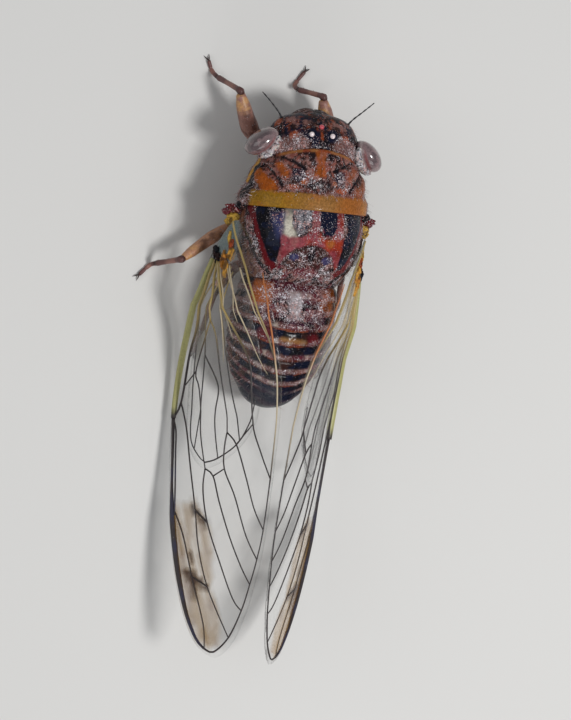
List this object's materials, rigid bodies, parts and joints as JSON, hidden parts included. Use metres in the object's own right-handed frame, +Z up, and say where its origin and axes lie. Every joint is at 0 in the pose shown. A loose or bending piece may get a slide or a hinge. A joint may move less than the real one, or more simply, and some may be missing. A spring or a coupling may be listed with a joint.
{
  "type": "olympic scrub cicada model",
  "caption": "Life-size still model of a cicada at rest on its feet, clear veined wings folded like a roof over the abdomen.",
  "frame": {"origin": "on the floor under the middle of the whole insect's bounding box", "axes": "+Z up, head faces -Y, wing tips point +Y, +X is the insect's own left side"},
  "size_m": [0.0158, 0.0402, 0.0094],
  "materials": {
    "head_shell": "satin",
    "eye": "polished",
    "feeler": "satin",
    "pronotum_shell": "satin",
    "thorax_shell": "satin",
    "abdomen_shell": "satin",
    "plate": "satin",
    "leg": "satin",
    "forewing": "clear with coloured veins",
    "hindwing": "clear"
  },
  "bodies": {
    "root": {"head": "head_shell", "eye_left": "eye", "eye_right": "eye", "antenna_left": "feeler", "antenna_right": "feeler", "beak": "head_shell", "pronotum": "pronotum_shell", "mesothorax": "thorax_shell", "abdomen": "abdomen_shell", "operculum_left": "plate", "operculum_right": "plate", "forewing_left": "forewing", "forewing_right": "forewing", "hindwing_left": "hindwing", "hindwing_right": "hindwing", "leg_front_left_femur": "leg", "leg_front_left_tibia": "leg", "leg_front_right_femur": "leg", "leg_front_right_tibia": "leg", "leg_middle_left_femur": "leg", "leg_middle_left_tibia": "leg", "leg_middle_right_femur": "leg", "leg_middle_right_tibia": "leg", "leg_hind_left_femur": "leg", "leg_hind_left_tibia": "leg", "leg_hind_right_femur": "leg", "leg_hind_right_tibia": "leg"}
  },
  "joints": []
}
